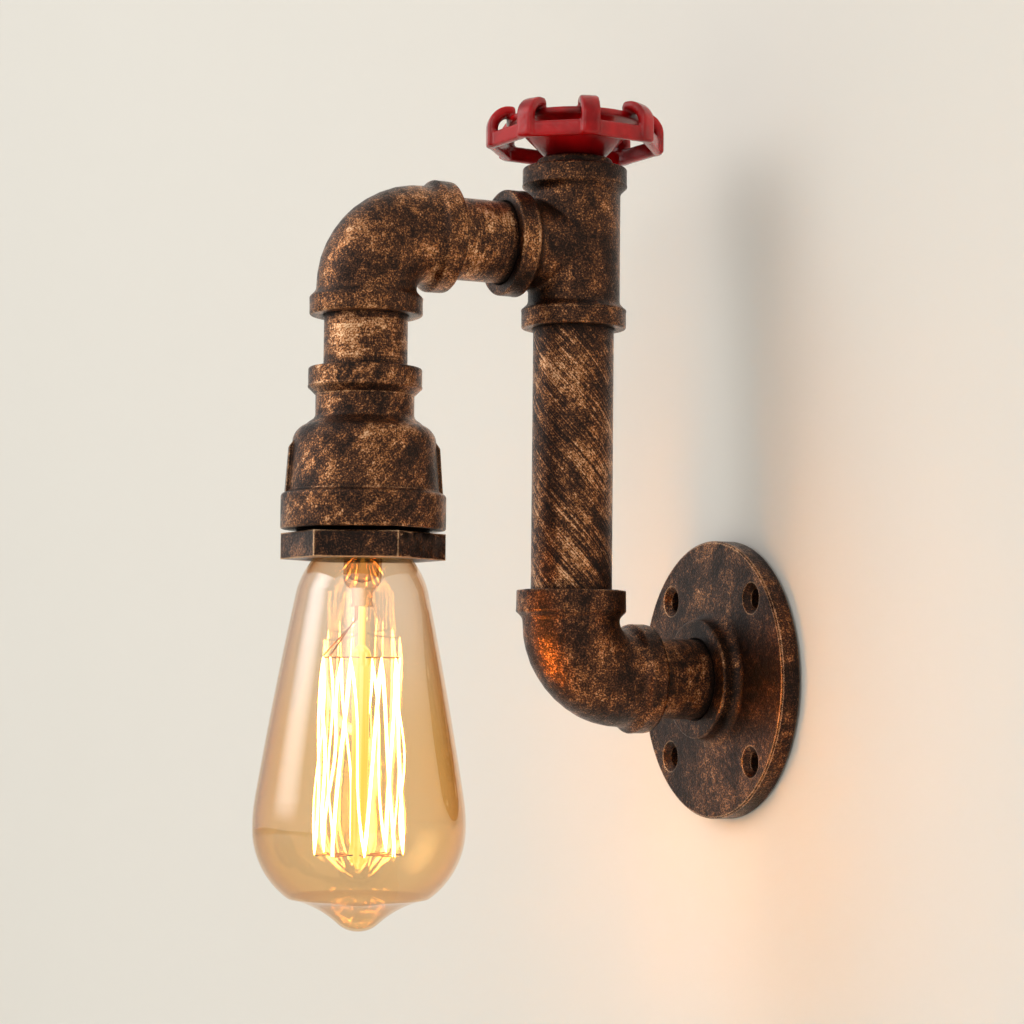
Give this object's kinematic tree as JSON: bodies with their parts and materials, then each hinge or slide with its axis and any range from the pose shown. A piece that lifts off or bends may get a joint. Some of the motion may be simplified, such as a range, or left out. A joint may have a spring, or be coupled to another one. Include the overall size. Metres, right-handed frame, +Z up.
{
  "type": "wall light",
  "caption": "Industrial wall light of screwed iron pipe and fittings: wall flange, riser, tee with a red handwheel dimmer, and a bare amber glass bulb hanging from the arm.",
  "frame": {"origin": "centre of the wall flange's back face, on the wall", "axes": "+Z up along the riser, -Y away from the wall along the arm, X across"},
  "size_m": [0.0932, 0.1664, 0.268],
  "materials": {
    "bronzed_casting": "malleable iron casting, dark brown antique finish rubbed back to copper, grainy skin",
    "bronzed_pipe": "steel pipe, dark brown antique finish brushed through to copper in slanting streaks",
    "brass": "plain turned brass",
    "tinned_copper": "tinned copper",
    "porcelain": "white glazed porcelain",
    "zinc_plated_steel": "bright zinc plated steel",
    "brass_cap": "drawn brass lamp cap, slightly dull",
    "black_glass": "black vitreous insulator",
    "solder": "solder, grey and slightly matt",
    "basing_cement": "tan basing cement",
    "amber_glass": "amber tinted blown glass, clear",
    "clear_glass": "clear drawn glass, fused at the pinch",
    "lit_glass_rod": "clear glass rod, lit by the filament round it",
    "molybdenum_wire": "drawn molybdenum wire",
    "filament": "coiled tungsten wire, glowing",
    "black_phenolic": "moulded phenolic, black",
    "red_enamel": "red stoving enamel on pressed steel, glossy",
    "brown_insulation": "wire insulation, brown",
    "black_insulation": "wire insulation, black",
    "blue_insulation": "wire insulation, blue"
  },
  "bodies": {
    "fixture": {"wall_flange": "bronzed_casting", "earth_screw": "brass", "earth_washer": "tinned_copper", "stub_nipple": "bronzed_pipe", "lower_elbow": "bronzed_casting", "riser_pipe": "bronzed_pipe", "tee": "bronzed_casting", "arm_nipple": "bronzed_pipe", "upper_elbow": "bronzed_casting", "drop_nipple": "bronzed_pipe", "reducer_bell": "bronzed_casting", "hex_bushing": "bronzed_casting", "holder_insulator": "porcelain", "holder_shell": "brass", "centre_contact": "brass", "holder_terminals": "brass", "terminal_screws": "zinc_plated_steel", "top_plug": "bronzed_casting", "dimmer_body": "black_phenolic", "dimmer_nut": "zinc_plated_steel", "feed_lead": "brown_insulation", "switched_lead": "black_insulation", "neutral_lead": "blue_insulation", "lead_ferrules": "tinned_copper"},
    "wheel": {"spindle": "zinc_plated_steel", "handwheel": "red_enamel", "wheel_washer": "zinc_plated_steel", "wheel_screw": "zinc_plated_steel"},
    "bulb_thread": {"basing_cement": "basing_cement"},
    "bulb": {"bulb_cap": "brass_cap", "cap_insulator": "black_glass", "cap_contact": "solder", "bulb_glass": "amber_glass", "glass_stem": "clear_glass", "upper_supports": "molybdenum_wire", "lower_supports": "molybdenum_wire", "centre_rod": "lit_glass_rod", "filament": "filament", "lead_wires": "molybdenum_wire"}
  },
  "joints": [
    {"name": "wheel_turn", "type": "hinge", "parent": "fixture", "child": "wheel", "pos_m": [0, -0.0589, 0.177], "axis": [0, 0, 1], "range_deg": [0, 280]},
    {"name": "bulb_drop", "type": "slide", "parent": "fixture", "child": "bulb_thread", "axis": [0, 0, -1], "range_m": [0, 0.00917]},
    {"name": "bulb_turn", "type": "hinge", "parent": "bulb_thread", "child": "bulb", "pos_m": [0, -0.13285, 0.045], "axis": [0, 0, -1], "range_deg": [0, 900]}
  ],
  "couplings": [
    {"joint": "bulb_drop", "follows": "bulb_turn", "m_per_rad": 0.00057757}
  ]
}
